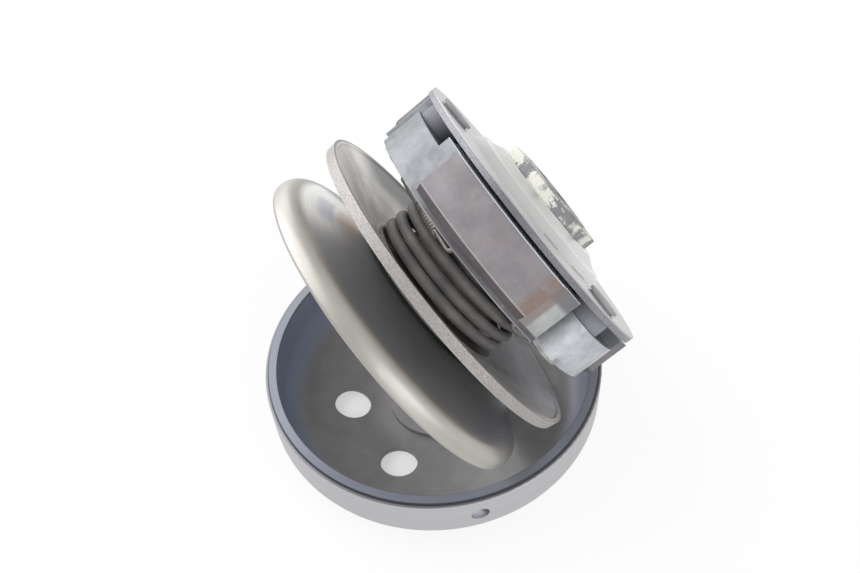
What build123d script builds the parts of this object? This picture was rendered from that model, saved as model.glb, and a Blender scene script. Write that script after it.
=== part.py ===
from build123d import *
from math import cos, degrees, pi, radians, sin, tan
import os

os.makedirs("parts", exist_ok=True)

# The belt pulley of a scooter drive with its centrifugal clutch, leaning in the clutch bell that was
# taken off it. Millimetres. The bell stands on its floor at the origin with its axis along Z.
# The pulley's axis lies in the XZ plane, and its parts are drawn by radius and by station along it.

# Clutch bell
bell_radius = 77.5
bell_wall = 5.3
bell_height = 39.0
bell_floor = 2.7
bell_flat_margin = 7.7
bell_dish_slope = 15.0
bell_corner_radius = 9.5
bell_inner_corner_radius = 12.0
bell_dish_blend = 40.0
rim_step_height = 1.4
rim_step_width = 1.6
rim_edge_round = 0.6
bell_hole_count = 6
bell_hole_radius = 8.6
bell_hole_inset = 37.0
bell_hole_phase = 161.0
balance_dimple_radius = 4.0
balance_dimple_depth = 1.6
balance_dimple_angle = -99.0
balance_dimple_height = 27.0
bell_hub_radius = 13.5
bell_hub_neck_radius = 11.0
bell_hub_height = 16.0
bell_hub_bore = 7.5
bell_hub_chamfer = 1.0
bell_hub_foot_radius = 22.3
bell_hub_foot_height = 5.7

# How the pulley leans in the bell
lean_angle = 29.5
lean_gap = 0.1
pulley_x = -12.4

# Fixed sheave
fixed_radius = 76.3
rim_round = 1.5
fixed_rim_station = -3.6
fixed_rim_width = 1.0
fixed_shoulder_width = 6.4
fixed_shoulder_station = 4.5
belt_slope = 14.0
sheave_wall = 3.8
groove_bottom_width = 18.0
groove_bottom_gap = 1.67
fixed_boss_width = 10.0
fixed_boss_station = 4.0

# Sliding sheave
sliding_rim_inset = 1.1
sliding_rim_taper = 0.5
sliding_rim_width = 4.6
sliding_rim_wall = 2.0
sliding_shoulder_width = 2.4
sheave_travel = 12.5

# Hub tube with its two bearings
hub_radius = 20.0
hub_end_station = 0.0
hub_shoulder_station = 77.0
thread_inset = 2.0
thread_end_station = 84.7
hub_flat_cut = 1.6
hub_wall = 6.0
bearing_shoulder = 1.5
needle_seat_depth = 21.0
running_gap = 0.1
fit_gap = 0.05

# Torque cam: pins in the hub work in helical slots of the sheave's sleeve
cam_pin_count = 3
cam_pin_radius = 3.0
cam_roller_radius = 4.3
cam_pin_station = 40.0
cam_angle = 38.0
cam_slot_gap = 0.2
sleeve_wall = 3.4
sleeve_end_station = 49.0
o_ring_wire = 0.9
o_ring_gap = 0.1
o_ring_low_station = 21.0
o_ring_high_station = 46.6
spring_cup_wall = 1.2
spring_cup_gap = 0.3
spring_cup_flange_radius = 36.0
spring_cup_flange = 1.4

# Contra spring
spring_radius = 35.9
spring_wire = 2.5
spring_turns = 7.5
spring_start_angle = 201.0

# Carrier plate
plate_radius = 66.0
plate_station = 69.5
plate_wall = 3.0
dome_base_radius = 41.0
dome_step_radius = 37.0
dome_step_height = 3.6
dome_shoulder_radius = 34.5
dome_top_radius = 28.0
dome_top_station = 79.2
nut_across_flats = 46.0
nut_height = 4.8
nut_phase = 24.0

# Shoes and their pins
shoe_count = 3
shoe_phase = 31.0
pin_inset = 12.0
pin_radius = 4.5
shoe_station = 44.5
shoe_end_station = 67.8
shoe_inset = 1.5
shoe_width = 24.5
shoe_sweep = 101.5
shoe_full_start = 26.5
boss_face_station = 62.8
flange_width = 2.4
lining_seat_inset = 4.0
lining_thickness = 5.6
lining_start = 35.5
lining_end = 91.0
lining_bevel = 3.2
lining_bevel_depth = 1.9
lining_gap_angle = 0.4
collar_wall = 4.5
collar_gap = 0.1
clip_width = 3.5
clip_wall = 1.2
clip_groove_depth = 0.7
clip_gap = 0.2
pin_end = 1.0
pin_washer_width = 2.0
pin_washer = 0.8
pin_head_width = 3.0
pin_head = 1.2

# Return springs
return_hook_inset = 2.0
return_hook_back = 20.0
return_hook_front = 57.5
return_coil_radius = 3.0
return_wire = 1.0
return_gap = 0.4
return_hook_depth = 5.0
return_coil_share = 0.62

# Ball bearing and needle bearing
ball_bearing_width = 7.0
bearing_section = 6.5
ball_count = 9
ball_radius = 2.2
race_wall = 2.1
race_gap = 0.05
cage_wall = 0.9
circlip_wall = 1.2
circlip_depth = 0.7
circlip_width = 2.6
circlip_opening = 50.0
needle_length = 16.0
needle_radius = 1.25
needle_count = 12
needle_shell_wall = 0.5
needle_lip = 1.2
needle_cage_wall = 0.8

# Where the pulley stands: its sheave's rim rests on the foot of the bell's hub
fixed_shoulder_radius = fixed_radius - fixed_shoulder_width
tip_drop = (fixed_radius - rim_round) * cos(radians(lean_angle))
tip_shift = -fixed_rim_station * sin(radians(lean_angle))
pulley_z = bell_hub_foot_height + lean_gap + tip_drop + tip_shift + rim_round
pulley_axis = Vector(cos(radians(lean_angle)), 0, sin(radians(lean_angle)))
pulley_down = Vector(sin(radians(lean_angle)), 0, -cos(radians(lean_angle)))
pulley_origin = Vector(pulley_x, 0, pulley_z)
lean = Plane(origin=pulley_origin, x_dir=pulley_down, z_dir=pulley_axis)
section = Plane(origin=pulley_origin, x_dir=pulley_down, z_dir=(0, -1, 0))
lean_axis = Axis(pulley_origin, pulley_axis)


def across(station, angle=0.0):
    """The plane square to the pulley's axis at a station, turned about that axis."""
    return Plane(lean.location * Location((0, 0, station), (0, 0, angle)))


def polar(radius, angle):
    """A point of such a plane, by radius and angle."""
    return (radius * cos(radians(angle)), radius * sin(radians(angle)))


def ring_sector(outer, inner, start, end):
    """Adds a sector of a ring to the sketch that is being drawn."""
    with BuildLine() as outline:
        Line(polar(inner, start), polar(outer, start))
        CenterArc((0, 0), outer, start, end - start)
        Line(polar(outer, end), polar(inner, end))
        CenterArc((0, 0), inner, start, end - start)
    make_face(outline.edges())


# Clutch bell: a turned drum with a dished floor, a stepped rim, six holes and a balancing dimple
bell_bore_radius = bell_radius - bell_wall
bell_flat_radius = bell_hub_foot_radius + bell_flat_margin
dish_rise = tan(radians(bell_dish_slope))
bell_hole_circle = bell_radius - bell_hole_inset
outer_corner_height = (bell_radius - bell_flat_radius) * dish_rise
inner_corner_height = bell_floor + (bell_bore_radius - bell_flat_radius) * dish_rise
step_radius = bell_radius - rim_step_width
step_height = bell_height - rim_step_height

with BuildPart() as clutch_bell:
    with BuildSketch(Plane.XZ) as bell_section:
        with BuildLine():
            Polyline(
                (bell_hub_neck_radius, 0),
                (bell_flat_radius, 0),
                (bell_radius, outer_corner_height),
                (bell_radius, step_height),
                (step_radius, step_height),
                (step_radius, bell_height),
                (bell_bore_radius, bell_height),
                (bell_bore_radius, inner_corner_height),
                (bell_flat_radius, bell_floor),
                (bell_hub_neck_radius, bell_floor),
                close=True,
            )
        make_face()
        outer_wall = bell_section.vertices().group_by(Axis.X)[-1].sort_by(Axis.Y)
        fillet(outer_wall[0], bell_corner_radius)
        bore_wall = bell_section.vertices().filter_by(lambda v: abs(v.X - bell_bore_radius) < fit_gap)
        fillet(bore_wall.sort_by(Axis.Y)[0], bell_inner_corner_radius)
        dish_edges = bell_section.vertices().filter_by(lambda v: abs(v.X - bell_flat_radius) < fit_gap)
        fillet(dish_edges, bell_dish_blend)
        fillet(bell_section.vertices().group_by(Axis.X)[-1].sort_by(Axis.Y)[-1], rim_edge_round)
    revolve(axis=Axis.Z)
    with BuildSketch():
        with PolarLocations(bell_hole_circle, bell_hole_count, bell_hole_phase):
            Circle(bell_hole_radius)
    extrude(amount=bell_height / 2, mode=Mode.SUBTRACT)
    dimple_side = Plane(
        origin=polar(bell_radius - balance_dimple_depth, balance_dimple_angle) + (balance_dimple_height,),
        z_dir=polar(1, balance_dimple_angle) + (0,),
    )
    with BuildSketch(dimple_side):
        Circle(balance_dimple_radius)
    extrude(amount=balance_dimple_depth * 2, mode=Mode.SUBTRACT)
clutch_bell.part.label = "clutch_bell"
export_step(clutch_bell.part, "parts/clutch_bell.step")

# Bell hub: the boss that carries the bell on the gearbox shaft
with BuildPart() as bell_hub:
    with BuildSketch(Plane.XZ):
        with BuildLine():
            Polyline(
                (bell_hub_bore, 0),
                (bell_hub_neck_radius, 0),
                (bell_hub_neck_radius, bell_floor),
                (bell_hub_foot_radius, bell_floor),
                (bell_hub_foot_radius, bell_hub_foot_height),
                (bell_hub_radius, bell_hub_foot_height),
                (bell_hub_radius, bell_hub_height - bell_hub_chamfer),
                (bell_hub_radius - bell_hub_chamfer, bell_hub_height),
                (bell_hub_bore, bell_hub_height),
                close=True,
            )
        make_face()
    revolve(axis=Axis.Z)
bell_hub.part.label = "bell_hub"
export_step(bell_hub.part, "parts/bell_hub.step")

# Fixed sheave: a turned disc whose belt face rises from a rounded rim to the bottom of the groove
groove_slope = tan(radians(belt_slope))
groove_bottom_radius = hub_radius + groove_bottom_width
fixed_groove_station = fixed_shoulder_station + (fixed_shoulder_radius - groove_bottom_radius) * groove_slope
fixed_back_station = fixed_shoulder_station - sheave_wall
fixed_boss_radius = hub_radius + fixed_boss_width
fixed_back_groove_station = fixed_groove_station - sheave_wall

with BuildPart() as fixed_sheave:
    with BuildSketch(section):
        with BuildLine():
            rim_tip = CenterArc((fixed_radius - rim_round, fixed_rim_station), rim_round, -90, 90)
            rim_edge = Line(rim_tip @ 1, (fixed_radius, fixed_rim_station + fixed_rim_width))
            shoulder = TangentArc(
                rim_edge @ 1,
                (fixed_shoulder_radius, fixed_shoulder_station),
                tangent=(0, 1),
            )
            Polyline(
                shoulder @ 1,
                (groove_bottom_radius, fixed_groove_station),
                (hub_radius, fixed_groove_station),
                (hub_radius, fixed_boss_station),
                (fixed_boss_radius, fixed_boss_station),
                (fixed_boss_radius, fixed_back_groove_station),
                (groove_bottom_radius, fixed_back_groove_station),
                (fixed_shoulder_radius, fixed_back_station),
                rim_tip @ 0,
            )
        make_face()
    revolve(axis=lean_axis)
fixed_sheave.part.label = "fixed_sheave"
export_step(fixed_sheave.part, "parts/fixed_sheave.step")

# Sliding sheave: disc and sleeve in one, with a helical slot in the sleeve for each cam pin
sleeve_bore = hub_radius + running_gap
sliding_radius = fixed_radius - sliding_rim_inset
sliding_shoulder_radius = sliding_radius - sliding_shoulder_width
sleeve_radius = hub_radius + sleeve_wall
sliding_groove_station = fixed_groove_station + groove_bottom_gap
sliding_rise = (sliding_shoulder_radius - groove_bottom_radius) * groove_slope
sliding_rim_station = sliding_groove_station + sliding_rise
sliding_back_station = sliding_groove_station + sheave_wall
sliding_edge_station = sliding_rim_station + sliding_rim_width
sliding_lip_radius = sliding_radius - sliding_rim_wall
dish_edge_station = sliding_back_station + sliding_rise
cam_radius = (sleeve_bore + sleeve_radius) / 2
cam_twist = degrees(sheave_travel * tan(radians(cam_angle)) / cam_radius)
cam_pitch = 2 * pi * cam_radius / tan(radians(cam_angle))
slot_half_width = cam_roller_radius + cam_slot_gap
o_ring_groove_radius = sleeve_radius + spring_cup_gap - 2 * o_ring_wire - o_ring_gap
spring_cup_bore = sleeve_radius + spring_cup_gap


def slot_angles(slot):
    """Where a cam slot starts and ends round the sleeve."""
    end_angle = slot * 360 / cam_pin_count
    return (end_angle - cam_twist, end_angle)


slot_start_station = cam_pin_station - sheave_travel
slot_lines = [
    across(slot_start_station, slot_angles(slot)[0]) * Helix(cam_pitch, sheave_travel, cam_radius)
    for slot in range(cam_pin_count)
]

with BuildPart() as sliding_sheave:
    with BuildSketch(section):
        with BuildLine():
            Polyline(
                (sleeve_bore, sliding_groove_station),
                (groove_bottom_radius, sliding_groove_station),
                (sliding_shoulder_radius, sliding_rim_station),
                (sliding_radius - sliding_rim_taper, sliding_rim_station),
                (sliding_radius, sliding_edge_station),
                (sliding_lip_radius, sliding_edge_station),
                (sliding_shoulder_radius - sliding_rim_taper, dish_edge_station),
                (groove_bottom_radius, sliding_back_station),
                (sleeve_radius, sliding_back_station),
                (sleeve_radius, sleeve_end_station),
                (sleeve_bore, sleeve_end_station),
                close=True,
            )
        make_face()
        for groove_station in (o_ring_low_station, o_ring_high_station):
            with Locations((sleeve_radius, groove_station)):
                Rectangle(2 * (sleeve_radius - o_ring_groove_radius), 2 * o_ring_wire, mode=Mode.SUBTRACT)
    revolve(axis=lean_axis)
    for slot, slot_line in enumerate(slot_lines):
        slot_start = across(slot_start_station, slot_angles(slot)[0])
        slot_plane = Plane(origin=slot_line @ 0, x_dir=slot_start.x_dir, z_dir=slot_line % 0)
        with BuildSketch(slot_plane) as slot_profile:
            Rectangle(2 * sleeve_wall, 2 * slot_half_width)
        sweep(sections=slot_profile.sketch, path=slot_line, is_frenet=True, mode=Mode.SUBTRACT)
        for end_station, end_angle in zip((slot_start_station, cam_pin_station), slot_angles(slot)):
            end_frame = across(end_station, end_angle)
            with BuildSketch(Plane(origin=end_frame.origin, x_dir=lean.z_dir, z_dir=end_frame.x_dir)):
                Circle(slot_half_width)
            extrude(amount=sleeve_radius + sleeve_wall, mode=Mode.SUBTRACT)
sliding_sheave.part.label = "sliding_sheave"
export_step(sliding_sheave.part, "parts/sliding_sheave.step")

# Rings that seal the grease in the sleeve
with BuildPart() as seal_rings:
    with BuildSketch(section):
        for ring_station in (o_ring_low_station, o_ring_high_station):
            with Locations((o_ring_groove_radius + o_ring_wire, ring_station)):
                Circle(o_ring_wire)
    revolve(axis=lean_axis)
seal_rings.part.label = "seal_rings"
export_step(seal_rings.part, "parts/seal_rings.step")

# Spring cup: the grease cover over the slots, whose flange carries the contra spring
cup_station = sliding_back_station + fit_gap
cup_radius = spring_cup_bore + spring_cup_wall
with BuildPart() as spring_cup:
    with BuildSketch(section):
        with BuildLine():
            Polyline(
                (spring_cup_bore, cup_station),
                (spring_cup_flange_radius, cup_station),
                (spring_cup_flange_radius, cup_station + spring_cup_flange),
                (cup_radius, cup_station + spring_cup_flange),
                (cup_radius, sleeve_end_station),
                (spring_cup_bore, sleeve_end_station),
                close=True,
            )
        make_face()
    revolve(axis=lean_axis)
spring_cup.part.label = "spring_cup"
export_step(spring_cup.part, "parts/spring_cup.step")

# Hub tube: the sheave is pressed on one end, the carrier plate is clamped on the other
thread_radius = hub_radius - thread_inset
hub_flat_distance = thread_radius - hub_flat_cut
bearing_seat_radius = hub_radius - hub_wall
hub_waist_radius = bearing_seat_radius - bearing_shoulder
needle_end_station = hub_end_station + needle_seat_depth
ball_seat_station = thread_end_station - circlip_width - ball_bearing_width
circlip_station = ball_seat_station + ball_bearing_width
with BuildPart() as sheave_hub:
    with BuildSketch(section):
        with BuildLine():
            Polyline(
                (bearing_seat_radius, hub_end_station),
                (hub_radius, hub_end_station),
                (hub_radius, hub_shoulder_station),
                (thread_radius, hub_shoulder_station),
                (thread_radius, thread_end_station),
                (bearing_seat_radius, thread_end_station),
                (bearing_seat_radius, circlip_station + circlip_wall),
                (bearing_seat_radius + circlip_depth, circlip_station + circlip_wall),
                (bearing_seat_radius + circlip_depth, circlip_station),
                (bearing_seat_radius, circlip_station),
                (bearing_seat_radius, ball_seat_station),
                (hub_waist_radius, ball_seat_station),
                (hub_waist_radius, needle_end_station),
                (bearing_seat_radius, needle_end_station),
                close=True,
            )
        make_face()
    revolve(axis=lean_axis)
    with BuildSketch(across(hub_shoulder_station)):
        Circle(hub_radius)
        Rectangle(2 * hub_radius, 2 * hub_flat_distance, mode=Mode.SUBTRACT)
    extrude(amount=thread_end_station - hub_shoulder_station, mode=Mode.SUBTRACT)
    for pin in range(cam_pin_count):
        pin_frame = across(cam_pin_station, pin * 360 / cam_pin_count)
        with BuildSketch(Plane(origin=pin_frame.origin, x_dir=lean.z_dir, z_dir=pin_frame.x_dir)):
            Circle(cam_pin_radius)
        extrude(amount=hub_radius + sleeve_wall, mode=Mode.SUBTRACT)
sheave_hub.part.label = "sheave_hub"
export_step(sheave_hub.part, "parts/sheave_hub.step")

# Cam pins and the rollers on them
with BuildPart() as cam_pins:
    for pin in range(cam_pin_count):
        pin_frame = across(cam_pin_station, pin * 360 / cam_pin_count)
        pin_foot = pin_frame.origin + pin_frame.x_dir * (hub_waist_radius + fit_gap)
        with BuildSketch(Plane(origin=pin_foot, x_dir=lean.z_dir, z_dir=pin_frame.x_dir)):
            Circle(cam_pin_radius)
        extrude(amount=sleeve_radius - hub_waist_radius - 2 * fit_gap)
cam_pins.part.label = "cam_pins"
export_step(cam_pins.part, "parts/cam_pins.step")

with BuildPart() as cam_rollers:
    for pin in range(cam_pin_count):
        roller_frame = across(cam_pin_station, pin * 360 / cam_pin_count)
        roller_foot = roller_frame.origin + roller_frame.x_dir * (sleeve_bore + cam_slot_gap)
        with BuildSketch(Plane(origin=roller_foot, x_dir=lean.z_dir, z_dir=roller_frame.x_dir)):
            Circle(cam_roller_radius)
            Circle(cam_pin_radius + fit_gap, mode=Mode.SUBTRACT)
        extrude(amount=sleeve_radius - sleeve_bore - 2 * cam_slot_gap)
cam_rollers.part.label = "cam_rollers"
export_step(cam_rollers.part, "parts/cam_rollers.step")

# Contra spring, from the cup's flange to the dome of the carrier plate
plate_face_station = plate_station + plate_wall
dome_seat_station = plate_face_station + dome_step_height - plate_wall
spring_mean_radius = spring_radius - spring_wire
spring_start = cup_station + spring_cup_flange + spring_wire + fit_gap
spring_end = dome_seat_station - spring_wire - fit_gap
spring_height = spring_end - spring_start
coil_start = across(spring_start, spring_start_angle)
coil = coil_start * Helix(spring_height / spring_turns, spring_height, spring_mean_radius)
with BuildPart() as contra_spring:
    with BuildSketch(Plane(origin=coil @ 0, x_dir=coil_start.x_dir, z_dir=coil % 0)) as wire_section:
        Circle(spring_wire)
    sweep(sections=wire_section.sketch, path=coil, is_frenet=True)
contra_spring.part.label = "contra_spring"
export_step(contra_spring.part, "parts/contra_spring.step")

# Carrier plate: a pressed disc with a stepped dome
pin_circle = plate_radius - pin_inset
pin_phases = [shoe_phase + shoe * 360 / shoe_count for shoe in range(shoe_count)]
with BuildPart() as carrier_plate:
    with BuildSketch(section):
        with BuildLine():
            Polyline(
                (hub_waist_radius, hub_shoulder_station),
                (dome_shoulder_radius - plate_wall * 2, hub_shoulder_station),
                (dome_shoulder_radius - plate_wall, dome_seat_station),
                (dome_step_radius, dome_seat_station),
                (dome_base_radius - plate_wall, plate_station),
                (plate_radius, plate_station),
                (plate_radius, plate_face_station),
                (dome_base_radius, plate_face_station),
                (dome_step_radius, plate_face_station + dome_step_height),
                (dome_shoulder_radius, plate_face_station + dome_step_height),
                (dome_top_radius, dome_top_station),
                (hub_waist_radius, dome_top_station),
                close=True,
            )
        make_face()
    revolve(axis=lean_axis)
    with BuildSketch(across(hub_shoulder_station - plate_wall)):
        Circle(thread_radius + fit_gap)
        Rectangle(2 * hub_radius, 2 * (hub_flat_distance + fit_gap), mode=Mode.INTERSECT)
    extrude(amount=3 * plate_wall, mode=Mode.SUBTRACT)
    with BuildSketch(across(plate_station)):
        with PolarLocations(pin_circle, shoe_count, shoe_phase):
            Circle(pin_radius)
    extrude(amount=plate_wall, mode=Mode.SUBTRACT)
carrier_plate.part.label = "carrier_plate"
export_step(carrier_plate.part, "parts/carrier_plate.step")

# Clutch nut
with BuildPart() as clutch_nut:
    with BuildSketch(across(dome_top_station, nut_phase)):
        RegularPolygon(nut_across_flats / 2, 6, major_radius=False)
        Circle(thread_radius + fit_gap, mode=Mode.SUBTRACT)
    extrude(amount=nut_height)
clutch_nut.part.label = "clutch_nut"
export_step(clutch_nut.part, "parts/clutch_nut.step")

# Pivot pins with their washers, collars and clips
clip_station = shoe_station - clip_gap - clip_wall
pin_end_station = clip_station - pin_end
washer_station = plate_face_station
head_station = washer_station + pin_washer
with BuildPart() as pivot_pins:
    for phase in pin_phases:
        with BuildSketch(across(pin_end_station)):
            with Locations(polar(pin_circle, phase)):
                Circle(pin_radius)
        extrude(amount=head_station - pin_end_station)
        with BuildSketch(across(head_station)):
            with Locations(polar(pin_circle, phase)):
                Circle(pin_radius + pin_head_width)
        extrude(amount=pin_head)
        with BuildSketch(across(clip_station)):
            with Locations(polar(pin_circle, phase)):
                Circle(pin_radius)
                Circle(pin_radius - clip_groove_depth, mode=Mode.SUBTRACT)
        extrude(amount=clip_wall, mode=Mode.SUBTRACT)
pivot_pins.part.label = "pivot_pins"
export_step(pivot_pins.part, "parts/pivot_pins.step")


def pin_rings(station, outer, inner, width):
    """Adds one ring round each pivot pin to the part that is being built."""
    with BuildSketch(across(station)) as rings:
        with PolarLocations(pin_circle, shoe_count, shoe_phase):
            Circle(outer)
            Circle(inner, mode=Mode.SUBTRACT)
    extrude(rings.sketch, amount=width)


with BuildPart() as pin_washers:
    pin_rings(washer_station, pin_radius + pin_washer_width, pin_radius, pin_washer)
pin_washers.part.label = "pin_washers"
export_step(pin_washers.part, "parts/pin_washers.step")

with BuildPart() as damper_collars:
    collar_width = plate_station - boss_face_station - 2 * collar_gap
    pin_rings(boss_face_station + collar_gap, pin_radius + collar_wall, pin_radius + fit_gap, collar_width)
damper_collars.part.label = "damper_collars"
export_step(damper_collars.part, "parts/damper_collars.step")

with BuildPart() as pivot_clips:
    pin_rings(clip_station, pin_radius + clip_width, pin_radius - clip_groove_depth, clip_wall)
pivot_clips.part.label = "pivot_clips"
export_step(pivot_clips.part, "parts/pivot_clips.step")

# Shoes: each turns on its pin, and carries a bonded lining and two spring holes
shoe_radius = plate_radius - shoe_inset
shoe_inner_radius = shoe_radius - shoe_width
lining_seat_radius = plate_radius - lining_seat_inset
lining_radius = lining_seat_radius + lining_thickness
boss_radius = shoe_radius - pin_circle
return_station = shoe_station - return_gap - return_coil_radius
return_hook_circle = pin_circle - return_hook_inset
hook_angles = (return_hook_front, 360 / shoe_count - return_hook_back)
for shoe, phase in enumerate(pin_phases, start=1):
    with BuildPart() as shoe_casting:
        with BuildSketch(across(shoe_station, phase)):
            ring_sector(shoe_radius, shoe_inner_radius, 0, shoe_sweep)
            with Locations((pin_circle, 0)):
                Circle(boss_radius)
        extrude(amount=boss_face_station - shoe_station)
        with BuildSketch(across(boss_face_station, phase)):
            ring_sector(shoe_radius, shoe_inner_radius, shoe_full_start, shoe_sweep)
        extrude(amount=shoe_end_station - boss_face_station)
        with BuildSketch(across(shoe_station + flange_width, phase)):
            ring_sector(plate_radius + plate_wall, lining_seat_radius, lining_start, lining_end)
        extrude(amount=shoe_end_station - shoe_station, mode=Mode.SUBTRACT)
        with BuildSketch(across(shoe_station, phase)):
            with Locations((pin_circle, 0)):
                Circle(pin_radius + running_gap)
        extrude(amount=boss_face_station - shoe_station, mode=Mode.SUBTRACT)
        with BuildSketch(across(shoe_station, phase)):
            with Locations(*[polar(return_hook_circle, angle) for angle in hook_angles]):
                Circle(2 * return_wire)
        extrude(amount=return_hook_depth + return_gap, mode=Mode.SUBTRACT)
    shoe_casting.part.label = f"shoe_{shoe}"
    export_step(shoe_casting.part, f"parts/shoe_{shoe}.step")

    with BuildPart() as lining:
        lining_plane = across(shoe_station + flange_width, phase)
        with BuildSketch(lining_plane):
            ring_sector(
                lining_radius,
                lining_seat_radius,
                lining_start + lining_gap_angle,
                lining_end - lining_gap_angle,
            )
        extrude(amount=shoe_end_station - shoe_station - flange_width)
        inboard_edges = lining.faces().sort_by(Axis(lean_axis.position, lean_axis.direction))[0].edges()
        chamfer(inboard_edges.sort_by(SortBy.LENGTH)[-1], lining_bevel, lining_bevel_depth)
    lining.part.label = f"lining_{shoe}"
    export_step(lining.part, f"parts/lining_{shoe}.step")

# Return springs: each pulls one shoe's free end towards the next shoe
hook_half_angle = (return_hook_back + return_hook_front) / 2
chord_radius = return_hook_circle * cos(radians(hook_half_angle))
chord_half = return_hook_circle * sin(radians(hook_half_angle))
coil_half = chord_half * return_coil_share
with BuildPart() as return_springs:
    for phase in pin_phases:
        chord_angle = phase + (return_hook_front - return_hook_back) / 2
        chord = across(return_station, chord_angle)
        middle = chord.origin + chord.x_dir * chord_radius
        coil_foot = middle - chord.y_dir * coil_half
        with BuildSketch(Plane(origin=coil_foot, x_dir=chord.x_dir, z_dir=chord.y_dir)):
            Circle(return_coil_radius)
        extrude(amount=2 * coil_half)
        for side in (-1, 1):
            with BuildLine(chord) as hook_line:
                FilletPolyline(
                    (chord_radius, side * (coil_half - return_wire), 0),
                    (chord_radius, side * chord_half, 0),
                    (chord_radius, side * chord_half, shoe_station - return_station + return_hook_depth),
                    radius=2 * return_wire,
                )
            hook = hook_line.wires()[0]
            with BuildSketch(Plane(origin=hook @ 0, x_dir=chord.x_dir, z_dir=hook % 0)):
                Circle(return_wire)
            sweep(path=hook)
return_springs.part.label = "return_springs"
export_step(return_springs.part, "parts/return_springs.step")

# Ball bearing in the nut end of the hub
ball_bearing_bore = bearing_seat_radius - bearing_section
ball_circle = (bearing_seat_radius + ball_bearing_bore) / 2
ball_middle_station = ball_seat_station + ball_bearing_width / 2
groove_radius = ball_radius + race_gap
with BuildPart() as bearing_outer_ring:
    with BuildSketch(section):
        with Locations((bearing_seat_radius - race_wall / 2, ball_middle_station)):
            Rectangle(race_wall, ball_bearing_width)
        with Locations((ball_circle, ball_middle_station)):
            Circle(groove_radius, mode=Mode.SUBTRACT)
    revolve(axis=lean_axis)
bearing_outer_ring.part.label = "bearing_outer_ring"
export_step(bearing_outer_ring.part, "parts/bearing_outer_ring.step")

with BuildPart() as bearing_inner_ring:
    with BuildSketch(section):
        with Locations((ball_bearing_bore + race_wall / 2, ball_middle_station)):
            Rectangle(race_wall, ball_bearing_width)
        with Locations((ball_circle, ball_middle_station)):
            Circle(groove_radius, mode=Mode.SUBTRACT)
    revolve(axis=lean_axis)
bearing_inner_ring.part.label = "bearing_inner_ring"
export_step(bearing_inner_ring.part, "parts/bearing_inner_ring.step")

ball_centres = PolarLocations(ball_circle, ball_count)
with BuildPart(across(ball_middle_station)) as bearing_balls:
    with ball_centres:
        Sphere(ball_radius)
bearing_balls.part.label = "bearing_balls"
export_step(bearing_balls.part, "parts/bearing_balls.step")

with BuildPart(across(ball_middle_station)) as bearing_cage:
    Cylinder(ball_circle + cage_wall / 2, 2 * ball_radius + cage_wall)
    Cylinder(ball_circle - cage_wall / 2, 2 * ball_radius + cage_wall, mode=Mode.SUBTRACT)
    with ball_centres:
        Cylinder(ball_radius + race_gap, 2 * ball_radius, rotation=(0, 90, 0), mode=Mode.SUBTRACT)
bearing_cage.part.label = "bearing_cage"
export_step(bearing_cage.part, "parts/bearing_cage.step")

with BuildPart() as bearing_circlip:
    with BuildSketch(across(circlip_station)):
        ring_sector(
            bearing_seat_radius + circlip_depth,
            bearing_seat_radius - race_wall,
            circlip_opening / 2,
            360 - circlip_opening / 2,
        )
    extrude(amount=circlip_wall)
bearing_circlip.part.label = "bearing_circlip"
export_step(bearing_circlip.part, "parts/bearing_circlip.step")

# Needle bearing in the sheave end of the hub
needle_circle = bearing_seat_radius - needle_shell_wall - needle_radius - race_gap / 2
needle_middle_station = hub_end_station + needle_seat_depth / 2
shell_length = needle_seat_depth - 2 * fit_gap
with BuildPart() as needle_shell:
    with BuildSketch(section):
        with Locations((bearing_seat_radius - needle_lip / 2, needle_middle_station)):
            Rectangle(needle_lip, shell_length)
        with Locations((bearing_seat_radius - needle_lip / 2 - needle_shell_wall, needle_middle_station)):
            Rectangle(needle_lip, shell_length - 2 * needle_shell_wall, mode=Mode.SUBTRACT)
    revolve(axis=lean_axis)
needle_shell.part.label = "needle_shell"
export_step(needle_shell.part, "parts/needle_shell.step")

with BuildPart(across(needle_middle_station)) as needle_rollers:
    with PolarLocations(needle_circle, needle_count):
        Cylinder(needle_radius, needle_length)
needle_rollers.part.label = "needle_rollers"
export_step(needle_rollers.part, "parts/needle_rollers.step")

with BuildPart(across(needle_middle_station)) as needle_cage:
    cage_length = shell_length - 4 * needle_shell_wall
    Cylinder(needle_circle + needle_cage_wall / 2, cage_length)
    Cylinder(needle_circle - needle_cage_wall / 2, cage_length, mode=Mode.SUBTRACT)
    with PolarLocations(needle_circle, needle_count):
        window_width = 2 * (needle_radius + race_gap)
        Box(4 * needle_radius, window_width, needle_length + 2 * race_gap, mode=Mode.SUBTRACT)
needle_cage.part.label = "needle_cage"
export_step(needle_cage.part, "parts/needle_cage.step")
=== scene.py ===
from math import cos, pi, radians, sin

import bpy
from mathutils import Matrix, Vector


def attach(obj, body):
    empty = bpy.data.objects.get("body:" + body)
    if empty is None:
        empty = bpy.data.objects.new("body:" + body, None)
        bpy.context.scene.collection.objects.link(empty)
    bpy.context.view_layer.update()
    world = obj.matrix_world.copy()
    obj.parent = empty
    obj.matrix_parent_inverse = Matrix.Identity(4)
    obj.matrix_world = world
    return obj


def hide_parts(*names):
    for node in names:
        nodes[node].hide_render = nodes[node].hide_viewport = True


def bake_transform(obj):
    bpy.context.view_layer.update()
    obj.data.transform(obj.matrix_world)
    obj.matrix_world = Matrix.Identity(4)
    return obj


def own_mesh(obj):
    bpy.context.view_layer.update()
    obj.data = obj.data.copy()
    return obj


# A centrifugal clutch with its driven pulley, leaning in its clutch bell.
# Blender's values are in metres. Bare radii, stations and depths are in millimetres and bare angles
# in degrees; MM and radians turn them into Blender's.
# The bell stands at the origin with its axis along Z. The pulley's parts are described by radius,
# angle and station along the pulley's axis; their angle is measured from the axis' lower side.

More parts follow.
